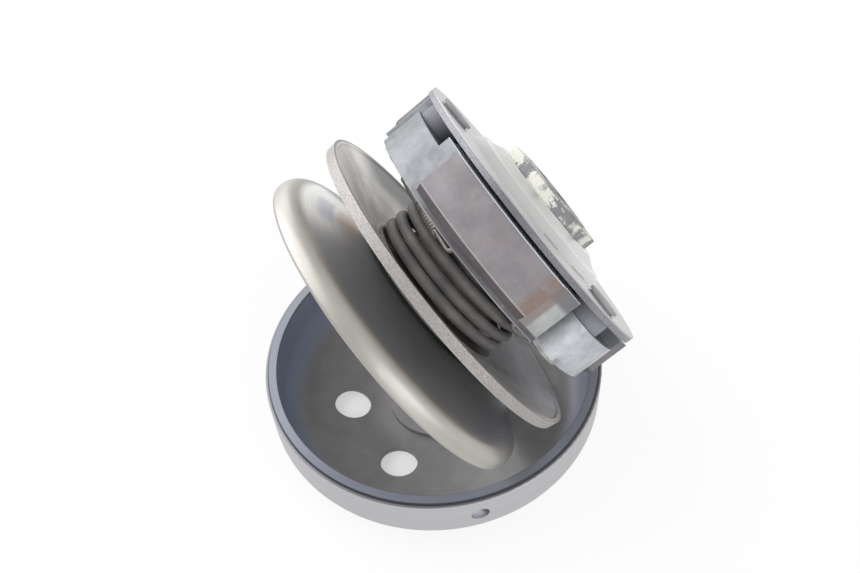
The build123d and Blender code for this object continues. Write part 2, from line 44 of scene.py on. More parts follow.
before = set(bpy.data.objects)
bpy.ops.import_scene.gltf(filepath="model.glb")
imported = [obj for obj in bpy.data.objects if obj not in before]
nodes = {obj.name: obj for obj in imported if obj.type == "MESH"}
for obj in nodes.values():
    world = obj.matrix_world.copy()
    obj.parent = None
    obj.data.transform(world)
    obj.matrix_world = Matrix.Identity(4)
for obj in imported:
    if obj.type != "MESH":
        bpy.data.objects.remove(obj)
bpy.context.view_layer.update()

MM = 0.001
LEAN = radians(29.5)
PULLEY_AXIS = Vector((cos(LEAN), 0, sin(LEAN)))
PULLEY_DOWN = Vector((sin(LEAN), 0, -cos(LEAN)))
PULLEY_SIDE = Vector((0, 1, 0))
PULLEY_ORIGIN = Vector((-12.4, 0, 74.175)) * MM
BELL_ORIGIN = Vector((0, 0, 0))
RIGHT = Vector((1, 0, 0))
BACK = Vector((0, 1, 0))
UP = Vector((0, 0, 1))


# Tools for materials

def grey(level):
    """A colour without a hue."""
    return (level, level, level)


def rgba(colour):
    """A colour as the nodes take it."""
    return colour if isinstance(colour, Value) else (*colour, 1.0)


class Value:
    """A number, colour or vector in a material, with which sums can be written."""

    def __init__(self, surface, socket):
        self.surface = surface
        self.socket = socket

    def maths(self, operation, *values, clamp=False):
        """The result of a maths node."""
        settings = {"operation": operation, "use_clamp": clamp}
        return self.surface.node("ShaderNodeMath", settings, dict(enumerate(values)))

    def __add__(self, other):
        return self.maths("ADD", self, other)

    def __radd__(self, other):
        return self.maths("ADD", other, self)

    def __sub__(self, other):
        return self.maths("SUBTRACT", self, other)

    def __rsub__(self, other):
        return self.maths("SUBTRACT", other, self)

    def __mul__(self, other):
        return self.maths("MULTIPLY", self, other)

    def root(self):
        """The square root."""
        return self.maths("POWER", self, 0.5)

    def clamped(self):
        """The value, kept between 0 and 1."""
        return self.maths("ADD", self, 0, clamp=True)


BEVEL_SAMPLES = 6


class Surface:
    """A material that is being drawn from nodes."""

    def __init__(self, name):
        self.material = bpy.data.materials.new(name)
        self.material.use_nodes = True
        self.tree = self.material.node_tree
        self.tree.nodes.clear()
        self.place = self.node("ShaderNodeTexCoord", output="Object")

    def node(self, kind, settings=None, values=None, output=0):
        """Adds a node with its settings, then its values and links, and gives one of its outputs."""
        node = self.tree.nodes.new(kind)
        for name, setting in (settings or {}).items():
            setattr(node, name, setting)
        for key, value in (values or {}).items():
            if isinstance(value, Value):
                self.tree.links.new(value.socket, node.inputs[key])
            else:
                node.inputs[key].default_value = value
        return Value(self, node.outputs[output])

    def along(self, direction, origin=BELL_ORIGIN):
        """How far the shaded point lies along a direction from an origin."""
        offset = self.node("ShaderNodeVectorMath", {"operation": "SUBTRACT"}, {0: self.place, 1: origin})
        settings = {"operation": "DOT_PRODUCT"}
        return self.node("ShaderNodeVectorMath", settings, {0: offset, 1: direction}, "Value")

    def noise(self, scale, detail, roughness, place=None, lines=None):
        """A noise from 0 to 1, in space, or in lines along one value."""
        values = {"Scale": scale, "Detail": detail, "Roughness": roughness}
        if lines is None:
            values["Vector"] = place or self.place
            return self.node("ShaderNodeTexNoise", {"noise_dimensions": "3D"}, values, "Fac")
        values["W"] = lines
        return self.node("ShaderNodeTexNoise", {"noise_dimensions": "1D"}, values, "Fac")

    def step(self, value, low, high):
        """0 below low, 1 above high and smooth between them; the other way round if low is over high."""
        values = {"Value": value, "From Min": low, "From Max": high}
        return self.node("ShaderNodeMapRange", {"interpolation_type": "SMOOTHSTEP"}, values)

    def band(self, value, low, high, soft):
        """1 between low and high, with soft edges outside them."""
        return self.step(value, low - soft, low) * self.step(value, high + soft, high)

    def mix(self, share, first, second):
        """A colour between two colours."""
        values = {0: share, 6: rgba(first), 7: rgba(second)}
        return self.node("ShaderNodeMix", {"data_type": "RGBA"}, values, 2)

    def shade(self, colour, level):
        """A colour made lighter or darker."""
        values = {0: 1.0, 6: rgba(colour), 7: level}
        return self.node("ShaderNodeMix", {"data_type": "RGBA", "blend_type": "MULTIPLY"}, values, 2)

    def relief(self, height, depth, strength, edge=None):
        """A normal bent by a height from 0 to 1, whose edges are rounded if edge is a radius.

        The depth and the edge are in millimetres.
        """
        values = {"Height": height, "Distance": depth * MM, "Strength": strength}
        if edge:
            values["Normal"] = self.node("ShaderNodeBevel", {"samples": BEVEL_SAMPLES}, {"Radius": edge * MM})
        return self.node("ShaderNodeBump", None, values)

    def finish(self, colour, metallic, roughness, normal):
        """Closes the material as a solid surface."""
        values = {
            "Base Color": rgba(colour),
            "Metallic": metallic,
            "Roughness": roughness,
            "Normal": normal,
        }
        return self.show(self.node("ShaderNodeBsdfPrincipled", None, values))

    def show(self, shader):
        """Closes the material with a shader."""
        output = self.tree.nodes.new("ShaderNodeOutputMaterial")
        self.tree.links.new(shader.socket, output.inputs["Surface"])
        return self.material


RING_SLANT = 0.83
STREAK_FINENESS_ACROSS = 6.0
STREAK_FINENESS_ROUND = 0.006


class Turned:
    """Radius, station and angle about an axis, for materials of turned pieces.

    The masks that start with past_ rise from 0 at their start to 1 at their end. Those that start
    with in_ are 1 between low and high, with soft edges outside them.
    """

    def __init__(self, surface, leaning=True):
        self.surface = surface
        if leaning:
            origin, axis, down = PULLEY_ORIGIN, PULLEY_AXIS, PULLEY_DOWN
        else:
            origin, axis, down = BELL_ORIGIN, UP, RIGHT
        across = surface.along(down, origin)
        side = surface.along(PULLEY_SIDE, origin)
        self.station = surface.along(axis, origin)
        self.radius = (across * across + side * side).root()
        self.angle = side.maths("ARCTAN2", side, across)

    def past_radius(self, start, end):
        return self.surface.step(self.radius, start * MM, end * MM)

    def past_station(self, start, end):
        return self.surface.step(self.station, start * MM, end * MM)

    def past_angle(self, start, end):
        return self.surface.step(self.angle, radians(start), radians(end))

    def in_radii(self, low, high, soft):
        return self.surface.band(self.radius, low * MM, high * MM, soft * MM)

    def in_stations(self, low, high, soft):
        return self.surface.band(self.station, low * MM, high * MM, soft * MM)

    def in_angles(self, low, high, soft):
        return self.surface.band(self.angle, radians(low), radians(high), radians(soft))

    def fray(self, noise, reach):
        """Shifts the angle by a noise, up to half of reach in radians, so that masks get ragged edges."""
        self.angle = self.angle + (noise - 0.5) * reach

    def rings(self, scale, detail=4.0):
        """Fine lines left by the lathe, on faces and on walls alike."""
        lines = self.radius + self.station * RING_SLANT
        return self.surface.noise(scale, detail, 0.65, lines=lines)

    def streaks(self, scale):
        """Streaks that run round the axis, broken up along their way."""
        place = self.surface.node("ShaderNodeCombineXYZ", None, {
            0: self.radius * STREAK_FINENESS_ACROSS,
            1: self.angle * STREAK_FINENESS_ROUND,
            2: self.station * STREAK_FINENESS_ACROSS,
        })
        return self.surface.noise(scale, 3.0, 0.6, place=place)


# Materials. Colours are linear; a pair holds the two tones between which a mask or noise chooses.

BELL_RADIUS = 77.5
DIMPLE_ANGLE = radians(-99)
DIMPLE_HEIGHT = 27
DIMPLE_ACROSS = Vector((-sin(DIMPLE_ANGLE), cos(DIMPLE_ANGLE), 0))
DIMPLE = Vector((BELL_RADIUS * cos(DIMPLE_ANGLE), BELL_RADIUS * sin(DIMPLE_ANGLE), DIMPLE_HEIGHT)) * MM

BELL_WALL = ((0.29, 0.315, 0.38), (0.38, 0.4, 0.45))
BELL_WALL_PAINTED_LIGHT = ((0.95, 1.04, 1.16), grey(2.4))
BELL_FLOOR = ((0.36, 0.352, 0.355), (0.43, 0.415, 0.405))
BELL_FLOOR_PAINTED_LIGHT = (grey(0.56), grey(1.45))
BELL_OUTSIDE = ((0.38, 0.37, 0.385), (0.52, 0.51, 0.525))
BELL_RIM = ((0.26, 0.268, 0.3), (0.12, 0.122, 0.143))
BELL_RIM_STEP_SHADOW = (0.05, 0.055, 0.065)
BELL_DIMPLE_SHADOW = (0.08, 0.085, 0.1)
BELL_RINGS = (grey(0.86), grey(1.1))


def dimple_shadow(surface, outer_wall):
    """The crescent of shadow in the dimple that was drilled into the bell's outer wall."""
    across = surface.along(DIMPLE_ACROSS, DIMPLE)
    height = surface.along(UP, DIMPLE)
    reach = (across * across + height * height).root()
    inside = surface.step(reach, 4.2 * MM, 3.8 * MM) * outer_wall
    return inside * surface.step(across + height * 0.6, -0.5 * MM, 2.0 * MM)


def bell_steel():
    """Dark oxidised steel inside with painted light towards the right, a scuffed pale outside, a rim with
    painted shade towards the front, and painted shadow in the rim's step and the dimple.
    """
    surface = Surface("bell steel")
    turned = Turned(surface, leaning=False)
    rings = turned.rings(2600)
    streaks = turned.streaks(240)
    clouds = surface.noise(26, 5, 0.6)
    grime = surface.step(surface.noise(90, 5, 0.65), 0.3, 0.75)
    floor = turned.past_radius(71.5, 60) * turned.past_station(24, 14)
    outer_wall = turned.past_radius(74.8, 75.2)
    outside = turned.past_radius(75.6, 76.2)
    rim = turned.past_station(37.3, 37.5)
    rim_step_shadow = turned.in_radii(75.8, 76.3, 0.2) * rim
    to_right = surface.step(surface.along(RIGHT), -60 * MM, 60 * MM)
    to_front = surface.step(surface.along(BACK), 0, -50 * MM)

    colour = surface.mix(floor, surface.mix(clouds, *BELL_WALL), surface.mix(grime, *BELL_FLOOR))
    # Painted light: the inside is laid lighter towards the right, wall and floor alike.
    wall_painted_light = surface.mix(to_right, *BELL_WALL_PAINTED_LIGHT)
    floor_painted_light = surface.mix(to_right, *BELL_FLOOR_PAINTED_LIGHT)
    colour = surface.shade(colour, surface.mix(floor, wall_painted_light, floor_painted_light))
    colour = surface.mix(outside, colour, surface.mix(streaks, *BELL_OUTSIDE))
    # Painted shade: the rim is laid darker towards the front.
    colour = surface.mix(rim * 0.75, colour, surface.mix(to_front, *BELL_RIM))
    # Painted shadow: a dark line in the corner of the rim's step.
    colour = surface.mix(rim_step_shadow * 0.85, colour, BELL_RIM_STEP_SHADOW)
    # Painted shadow in the dimple.
    colour = surface.mix(dimple_shadow(surface, outer_wall) * 0.85, colour, BELL_DIMPLE_SHADOW)
    colour = surface.shade(colour, surface.mix(rings, *BELL_RINGS))

    roughness = 0.34 + clouds * 0.12 + streaks * 0.14 + floor * 0.1
    normal = surface.relief(rings * 0.6 + streaks * 0.4, depth=0.05, strength=0.35, edge=0.35)
    return surface.finish(colour, metallic=0.45, roughness=roughness, normal=normal)


SHEAVE_EDGE = ((0.4, 0.385, 0.355), (0.52, 0.5, 0.465))
SHEAVE_BELT_FACE = ((0.31, 0.325, 0.35), (0.39, 0.4, 0.415))
SHEAVE_BELT_PAINTED_HIGHLIGHT = (1.0, 1.0, 0.99)
SHEAVE_BACK = ((0.78, 0.76, 0.73), (0.54, 0.505, 0.475))
SHEAVE_BACK_PAINTED_SHADE = (0.12, 0.125, 0.135)
SHEAVE_GRAINS = ((0.31, 0.295, 0.29), (0.5, 0.475, 0.46))
SHEAVE_RUST = (0.2, 0.13, 0.09)
HEAT_BLUE = (0.34, 0.42, 0.62)
HEAT_AMBER = (0.6, 0.42, 0.28)
SHEAVE_RINGS = (grey(0.88), grey(1.08))


def sheave_steel():
    """Satin turned steel with a grainy rim, heat tints in the groove, a painted highlight at the top of the
    belt face, and film and painted shade on the back.
    """
    surface = Surface("sheave steel")
    turned = Turned(surface)
    rings = turned.rings(3200)
    coarse_rings = turned.rings(700, detail=2)
    streaks = turned.streaks(300)
    film = surface.noise(34, 6, 0.62)
    speckle = surface.noise(1500, 3, 0.7)
    inner = turned.past_radius(66, 30)
    sliding = turned.past_station(13.0, 13.6)
    rim = sliding * turned.past_radius(73.9, 74.4)
    worn_by_belt = turned.past_radius(71.6, 67.0)
    clear_of_hub = 1 - turned.past_angle(138, 156) * turned.past_radius(64, 44)
    # Painted highlight: the top of the belt face, clear of the hub, is laid nearly white.
    painted_highlight_on_belt_face = turned.past_angle(106, 122) * turned.past_angle(179, 156) * clear_of_hub
    far_side = turned.past_angle(116, 96) * turned.past_angle(20, 50)
    # Painted shade on the back of the sliding sheave, towards its far rim.
    painted_shade_on_back = sliding * far_side * turned.past_radius(52, 64) * (1 - rim)
    rusty = surface.step(surface.noise(120, 6, 0.7), 0.56, 0.72) * inner
    heated = turned.in_angles(139, 155, 9) * (1 - sliding)
    blue = heated * turned.in_radii(56, 60, 4)
    amber = heated * turned.in_radii(45, 50, 4)

    belt_face = surface.mix(painted_highlight_on_belt_face * 0.95, surface.mix(film, *SHEAVE_BELT_FACE), SHEAVE_BELT_PAINTED_HIGHLIGHT)
    colour = surface.mix(worn_by_belt, surface.mix(film, *SHEAVE_EDGE), belt_face)
    colour = surface.mix(sliding, colour, surface.mix(surface.step(film, 0.35, 0.65), *SHEAVE_BACK))
    colour = surface.mix(painted_shade_on_back * 0.8, colour, SHEAVE_BACK_PAINTED_SHADE)
    colour = surface.mix(rim, colour, surface.mix(surface.step(speckle, 0.3, 0.7), *SHEAVE_GRAINS))
    colour = surface.mix(rusty * 0.5, colour, SHEAVE_RUST)
    colour = surface.mix(blue * 0.4, colour, HEAT_BLUE)
    colour = surface.mix(amber * 0.4, colour, HEAT_AMBER)
    colour = surface.shade(colour, surface.mix(coarse_rings, *SHEAVE_RINGS))

    roughness = 0.3 + film * 0.12 + streaks * 0.12 + rim * 0.16 + inner * 0.1
    heights = rings * 0.5 + coarse_rings * 0.2 + streaks * 0.3 + speckle * rim * 0.6
    normal = surface.relief(heights, depth=0.05, strength=0.4, edge=0.4)
    return surface.finish(colour, metallic=0.9, roughness=roughness, normal=normal)


STEEL_SPECKLE = (grey(0.82), grey(1.12))


def plain_steel(name, dark, light, roughness, metallic=0.9, lathe=0.4):
    """Steel with clouds of film, fine speckle and lathe lines, between two tones."""
    surface = Surface(name)
    clouds = surface.noise(60, 5, 0.6)
    speckle = surface.noise(1200, 3, 0.7)
    rings = Turned(surface).rings(2400)
    colour = surface.mix(surface.step(clouds, 0.25, 0.75), dark, light)
    colour = surface.shade(colour, surface.mix(speckle, *STEEL_SPECKLE))
    varied = roughness - 0.06 + clouds * 0.12 + speckle * 0.06
    normal = surface.relief(rings * lathe + speckle * 0.6, depth=0.04, strength=0.35, edge=0.25)
    return surface.finish(colour, metallic, varied, normal)


PLATE_FLAT = ((0.46, 0.46, 0.46), (0.66, 0.66, 0.655))
PLATE_DOME_PAINTED_SHEEN = ((0.78, 0.78, 0.77), (0.92, 0.92, 0.9))
PLATE_BENDS_PAINTED_SHADE = (0.6, 0.6, 0.595)
PLATE_SHEARED = ((0.22, 0.22, 0.25), (0.42, 0.42, 0.45))
PLATE_SHEARED_PAINTED_SHADE = (grey(0.8), grey(0.5))
PLATE_CORNER_PAINTED_HIGHLIGHT = (0.62, 0.61, 0.63)
PLATE_SLITS_PAINTED_SHADE = (0.06, 0.06, 0.065)


def plate_steel():
    """Pressed steel with a painted sheen on the dome and painted shade on its bends, grainy on its sheared
    edge, which has painted shade and a painted highlight on its corner, and two slits by the dome drawn only
    as dark lines of painted shade.
    """
    surface = Surface("plate steel")
    turned = Turned(surface)
    clouds = surface.noise(40, 5, 0.6)
    grain = surface.noise(1400, 4, 0.75)
    rings = turned.rings(1500)
    edge = turned.past_radius(65.4, 65.8)
    dome = turned.past_radius(42, 38)
    # Painted shade: darker bands on the bends of the dome.
    painted_shade_on_bends = turned.in_radii(29, 33.4, 1.2) * 0.75 + turned.in_radii(37.6, 40.4, 0.8) * 0.75
    # Painted shade on the sheared edge, darker over a range of angles.
    painted_shade_on_edge = turned.in_angles(-150, -112, 14)
    # Painted highlight along the edge's upper corner.
    corner = edge * turned.past_station(71.8, 72.2)
    # Painted shade: two slits by the dome, drawn only as dark lines.
    painted_slit_shade = turned.in_angles(-130, -119, 1) + turned.in_angles(-104, -90, 1)
    painted_slit_shade = painted_slit_shade * turned.in_radii(40.9, 41.6, 0.15)

    colour = surface.mix(clouds, *PLATE_FLAT)
    # Painted sheen: the dome is laid paler than the flat.
    colour = surface.mix(dome * 0.8, colour, surface.mix(rings, *PLATE_DOME_PAINTED_SHEEN))
    colour = surface.mix(painted_shade_on_bends, colour, PLATE_BENDS_PAINTED_SHADE)
    sheared = surface.mix(surface.step(grain, 0.3, 0.7), *PLATE_SHEARED)
    sheared = surface.shade(sheared, surface.mix(painted_shade_on_edge, *PLATE_SHEARED_PAINTED_SHADE))
    colour = surface.mix(edge * 0.9, colour, sheared)
    colour = surface.mix(corner * 0.6, colour, PLATE_CORNER_PAINTED_HIGHLIGHT)
    colour = surface.mix(painted_slit_shade * 0.9, colour, PLATE_SLITS_PAINTED_SHADE)

    roughness = 0.3 + clouds * 0.15 + edge * 0.2 - dome * 0.06
    heights = grain * (0.25 + edge) + rings * 0.3
    normal = surface.relief(heights, depth=0.06, strength=0.4, edge=0.3)
    return surface.finish(colour, metallic=0.88, roughness=roughness, normal=normal)


NUT_PLATED = ((0.55, 0.55, 0.49), (0.78, 0.77, 0.7))
NUT_BARE = ((0.12, 0.128, 0.135), (0.25, 0.255, 0.265))
NUT_FLECKS = (0.55, 0.55, 0.5)
NUT_RUST = (0.2, 0.13, 0.07)


def nut_zinc():
    """Pale zinc plating, worn through to grey in patches, with painted light on the faces at three ranges of
    angle, where fewer patches are worn.
    """
    surface = Surface("nut zinc")
    turned = Turned(surface)
    turned.fray(surface.noise(260, 4, 0.65), reach=0.9)
    patches = surface.noise(105, 6, 0.62)
    fine = surface.noise(1500, 3, 0.7)
    # Painted light: three ranges of angle get fewer worn patches, so those faces of the nut are paler, as if
    # lit.
    painted_light_on_faces = turned.in_angles(-174, -142, 6) + turned.in_angles(120, 156, 5) + turned.in_angles(-82, -58, 5)
    worn = surface.step(patches + 0.12 - painted_light_on_faces * 0.26, 0.45, 0.58)
    flecks = surface.step(surface.noise(480, 4, 0.7), 0.56, 0.62) * worn
    rust = surface.step(surface.noise(300, 4, 0.7), 0.66, 0.72)

    colour = surface.mix(worn, surface.mix(fine, *NUT_PLATED), surface.mix(fine, *NUT_BARE))
    colour = surface.mix(flecks * 0.7, colour, NUT_FLECKS)
    colour = surface.mix(rust * 0.6, colour, NUT_RUST)

    normal = surface.relief(patches * 0.5 + fine * 0.5, depth=0.08, strength=0.5, edge=0.4)
    return surface.finish(colour, metallic=0.3 + worn * 0.4, roughness=0.4 + fine * 0.14, normal=normal)


BY_PLATE_PAINTED_LIGHT = (0.72, 0.76, 0.84)


def on_far_side(turned):
    """The top of the shoes and linings behind, which is laid lighter as painted light."""
    return turned.in_angles(100, 145, 8)


def painted_light_by_plate(turned):
    """The faces of the shoes and linings that look at the carrier plate through a narrow gap, which are laid
    pale as painted light.
    """
    return turned.past_station(67.5, 67.7)


SHOE_SKIN = ((0.15, 0.156, 0.168), (0.275, 0.285, 0.3))
SHOE_FLANGE = ((0.055, 0.053, 0.057), (0.1, 0.097, 0.097))
SHOE_PITS = (0.16, 0.16, 0.17)
SHOE_PAINTED_LIGHT = (grey(1.0), grey(2.0))
SHOE_FREE_END_PAINTED_LIGHT = (0.52, 0.53, 0.51)
SHOE_SHADE_UNDER_PLATE = (0.12, 0.12, 0.132)
SHOE_FLANGE_EDGE_HIGHLIGHT = (0.45, 0.44, 0.47)
SHOE_STAIN = (0.2, 0.165, 0.15)
SHOE_RUST = (0.3, 0.17, 0.1)


def shoe_aluminium():
    """Die-cast aluminium, dull and dusty, with a slight orange-peel skin and a stain by the lining; painted
    light on the far side, by the boss, on the free end and by the plate, painted shade under the plate and a
    painted highlight on the flange's edge.
    """
    surface = Surface("shoe aluminium")
    turned = Turned(surface)
    skin = surface.noise(420, 3, 0.6)
    dust = surface.noise(75, 6, 0.65)
    pits = surface.step(surface.noise(700, 4, 0.7), 0.66, 0.72)
    flange = turned.past_station(47.4, 46.8) * turned.past_radius(63.6, 64.1)
    flange = flange * turned.past_angle(-85, -95) * turned.past_angle(-180, -163)
    near_boss = turned.in_angles(-100, -50, 4) * turned.past_station(64, 62)
    painted_light = (on_far_side(turned) + near_boss).clamped()
    free_end = turned.in_angles(-117, -106, 1) * (1 - flange)
    shade_under_plate = free_end * turned.past_station(60, 62.5)
    painted_flange_edge_highlight = turned.in_stations(44.4, 44.9, 0.2) * flange
    stained = turned.in_angles(-119, -114.4, 1.6) * (1 - flange)
    rust = surface.step(surface.noise(300, 5, 0.7), 0.63, 0.7)

    colour = surface.mix(surface.step(dust, 0.3, 0.7), *SHOE_SKIN)
    colour = surface.mix(flange * 0.75, colour, surface.mix(dust, *SHOE_FLANGE))
    colour = surface.mix(pits * 0.6, colour, SHOE_PITS)
    # Painted light on the far side and near the next shoe's boss.
    colour = surface.shade(colour, surface.mix(painted_light, *SHOE_PAINTED_LIGHT))
    # Painted light: the free end is laid paler.
    colour = surface.mix(free_end * dust, colour, SHOE_FREE_END_PAINTED_LIGHT)
    # Painted shade under the carrier plate, on the free end.
    colour = surface.mix(shade_under_plate * 0.75, colour, SHOE_SHADE_UNDER_PLATE)
    # Painted highlight along the flange's edge.
    colour = surface.mix(painted_flange_edge_highlight * 0.5, colour, SHOE_FLANGE_EDGE_HIGHLIGHT)
    colour = surface.mix(stained * (0.55 + dust * 0.4), colour, SHOE_STAIN)
    colour = surface.mix(rust * 0.5, colour, SHOE_RUST)
    # Painted light: the faces by the carrier plate are laid pale, to lift the shade in the gap.
    colour = surface.mix(painted_light_by_plate(turned), colour, BY_PLATE_PAINTED_LIGHT)

    normal = surface.relief(skin * 0.8 - pits * 0.4, depth=0.09, strength=0.45, edge=0.5)
    return surface.finish(colour, metallic=0.75, roughness=0.4 + dust * 0.16, normal=normal)


LINING_FACE = ((0.185, 0.168, 0.178), (0.31, 0.29, 0.305))
LINING_GRIT = (0.5, 0.46, 0.44)
LINING_RUST = (0.3, 0.2, 0.14)
LINING_PAINTED_LIGHT = (grey(1.0), grey(1.8))
LINING_BLOTCH_AND_LOW_END_TONE = (0.15, 0.135, 0.145)
LINING_STAIN = (0.19, 0.125, 0.095)
LINING_SCRATCHES = (0.5, 0.47, 0.47)
LINING_BEVEL = (grey(1.0), (0.42, 0.4, 0.42))
LINING_BEVEL_EDGE_HIGHLIGHT = (0.62, 0.6, 0.6)
LINING_SCORES = (0.5, 0.4, 0.34)


def lining_scores(surface, turned):
    """Short light scores that run slanting over the lining."""
    slanted = surface.node("ShaderNodeCombineXYZ", None, {
        0: turned.station * 260 + turned.angle * 26,
        1: turned.station * 1400 - turned.angle * 60,
        2: turned.radius * 100,
    })
    return surface.step(surface.noise(1.0, 4, 0.7, place=slanted), 0.64, 0.7)


def lining_friction():
    """Worn friction material with fine scratches round the drum and rust stains; painted light on the far
    side and by the plate, and a painted highlight along the bevel's edge.
    """
    surface = Surface("friction lining")
    turned = Turned(surface)
    scratches = turned.rings(5200, detail=2)
    streaks = turned.streaks(520)
    clouds = surface.step(surface.noise(80, 6, 0.65), 0.25, 0.75)
    grit = surface.noise(2600, 3, 0.75)
    rust = surface.step(surface.noise(160, 5, 0.7), 0.56, 0.68)
    low_end = turned.past_angle(-165, -125)
    # Dark blotches from noise, and darker towards the lining's low end.
    grime = (surface.step(surface.noise(36, 4, 0.6), 0.42, 0.68) + low_end * 0.8).clamped()
    stain_breaks = surface.step(surface.noise(110, 4, 0.65), 0.36, 0.62)
    stained = turned.in_angles(-122, -118, 3) * stain_breaks
    painted_bevel_edge_highlight = turned.in_stations(49.8, 50.2, 0.25) * turned.past_radius(67.0, 67.4)

    colour = surface.mix(clouds, *LINING_FACE)
    colour = surface.mix(surface.step(grit, 0.6, 0.75) * 0.5, colour, LINING_GRIT)
    colour = surface.mix(rust * 0.25, colour, LINING_RUST)
    # Painted light on the far side.
    colour = surface.shade(colour, surface.mix(on_far_side(turned), *LINING_PAINTED_LIGHT))
    colour = surface.mix(grime * 0.45, colour, LINING_BLOTCH_AND_LOW_END_TONE)
    colour = surface.mix(stained * 0.85, colour, LINING_STAIN)
    colour = surface.mix(surface.step(scratches, 0.64, 0.74) * 0.16, colour, LINING_SCRATCHES)
    colour = surface.shade(colour, surface.mix(turned.past_station(50, 49.6), *LINING_BEVEL))
    # Painted highlight along the bevel's edge.
    colour = surface.mix(painted_bevel_edge_highlight * 0.36, colour, LINING_BEVEL_EDGE_HIGHLIGHT)
    colour = surface.mix(lining_scores(surface, turned) * 0.45, colour, LINING_SCORES)
    # Painted light: the faces by the carrier plate are laid pale, to lift the shade in the gap.
    colour = surface.mix(painted_light_by_plate(turned), colour, BY_PLATE_PAINTED_LIGHT)

    roughness = 0.46 + clouds * 0.16 - streaks * 0.08
    heights = scratches * 0.5 + grit * 0.3 + streaks * 0.2
    normal = surface.relief(heights, depth=0.05, strength=0.45, edge=0.3)
    return surface.finish(colour, metallic=0.12, roughness=roughness, normal=normal)


RUBBER = ((0.17, 0.175, 0.2), (0.27, 0.275, 0.31))


def black_rubber():
    """Dusty black rubber."""
    surface = Surface("black rubber")
    fine = surface.noise(900, 4, 0.7)
    colour = surface.mix(fine, *RUBBER)
    normal = surface.relief(fine, depth=0.05, strength=0.4)
    return surface.finish(colour, metallic=0.0, roughness=0.6 + fine * 0.15, normal=normal)


def dress(material, *names):
    """Gives a material to CAD nodes by name."""
    for name in names:
        mesh = nodes[name].data
        mesh.materials.clear()
        mesh.materials.append(material)


hub_steel = plain_steel("hub steel", (0.3, 0.3, 0.31), (0.46, 0.45, 0.44), 0.3)
clip_steel = plain_steel("clip steel", (0.32, 0.3, 0.28), (0.46, 0.44, 0.42), 0.36)
cup_steel = plain_steel("cup steel", (0.22, 0.21, 0.2), (0.36, 0.34, 0.32), 0.38)
pin_steel = plain_steel("pin steel", (0.3, 0.3, 0.315), (0.36, 0.36, 0.375), 0.6, metallic=0.3, lathe=0)
bearing_steel = plain_steel("bearing steel", (0.5, 0.5, 0.5), (0.62, 0.62, 0.61), 0.22)
cage_steel = plain_steel("cage steel", (0.4, 0.36, 0.28), (0.52, 0.47, 0.38), 0.32)
circlip_steel = plain_steel("circlip steel", (0.1, 0.1, 0.1), (0.18, 0.18, 0.18), 0.35)

dress(bell_steel(), "clutch_bell", "bell_hub")
dress(sheave_steel(), "fixed_sheave", "sliding_sheave")
dress(hub_steel, "sheave_hub", "cam_pins", "cam_rollers")
dress(clip_steel, "pivot_clips")
dress(plate_steel(), "carrier_plate")
dress(cup_steel, "spring_cup")
dress(nut_zinc(), "clutch_nut")
dress(pin_steel, "pivot_pins", "pin_washers")
dress(shoe_aluminium(), "shoe_1", "shoe_2", "shoe_3")
dress(lining_friction(), "lining_1", "lining_2", "lining_3")
dress(black_rubber(), "damper_collars", "seal_rings")
dress(bearing_steel, "bearing_outer_ring", "bearing_inner_ring", "bearing_balls")
dress(bearing_steel, "needle_shell", "needle_rollers")
dress(cage_steel, "bearing_cage", "needle_cage")
dress(circlip_steel, "bearing_circlip")


# Springs, whose coils the solids only outline

def pulley_across(angle):
    """The direction that points away from the pulley's axis at an angle."""
    turn = radians(angle)
    return PULLEY_DOWN * cos(turn) + PULLEY_SIDE * sin(turn)


def pulley_point(radius, angle, station):
    """A point by its radius, angle and station along the pulley's axis."""
    return PULLEY_ORIGIN + (pulley_across(angle) * radius + PULLEY_AXIS * station) * MM


def add_wire(name, path, radius, material, sides):
    """A round wire along a path of points, closed at both ends. Its radius is in metres, like the path."""
    corners = []
    faces = []
    side = (path[1] - path[0]).orthogonal().normalized()
    for index, point in enumerate(path):
        ahead = path[min(index + 1, len(path) - 1)] - path[max(index - 1, 0)]
        ahead.normalize()
        side = (side - ahead * side.dot(ahead)).normalized()
        other = ahead.cross(side)
        for corner in range(sides):
            turn = 2 * pi * corner / sides
            corners.append(point + (side * cos(turn) + other * sin(turn)) * radius)
    for index in range(len(path) - 1):
        for corner in range(sides):
            first = index * sides + corner
            second = index * sides + (corner + 1) % sides
            faces.append((first, second, second + sides, first + sides))
    faces.append(tuple(range(sides))[::-1])
    faces.append(tuple(range(len(corners) - sides, len(corners))))
    mesh = bpy.data.meshes.new(name)
    mesh.from_pydata(corners, [], faces)
    mesh.polygons.foreach_set("use_smooth", [True] * (len(faces) - 2) + [False, False])
    mesh.materials.append(material)
    wire = bpy.data.objects.new(name, mesh)
    bpy.context.scene.collection.objects.link(wire)
    return wire


# The contra spring. FOOT and TOP are the stations of its first and last coil, and SEAT is the dome's inside.
SPRING_RADIUS = 33.4
SPRING_WIRE = 2.5
SPRING_FOOT = 21.92
SPRING_TOP = 70.55
SPRING_SEAT = 73.05
SPRING_TURNS = 8
SPRING_START = 94.6
SPRING_CLOSE_GAP = 0.1
SPRING_STEPS_A_TURN = 60
SPRING_SIDES = 16


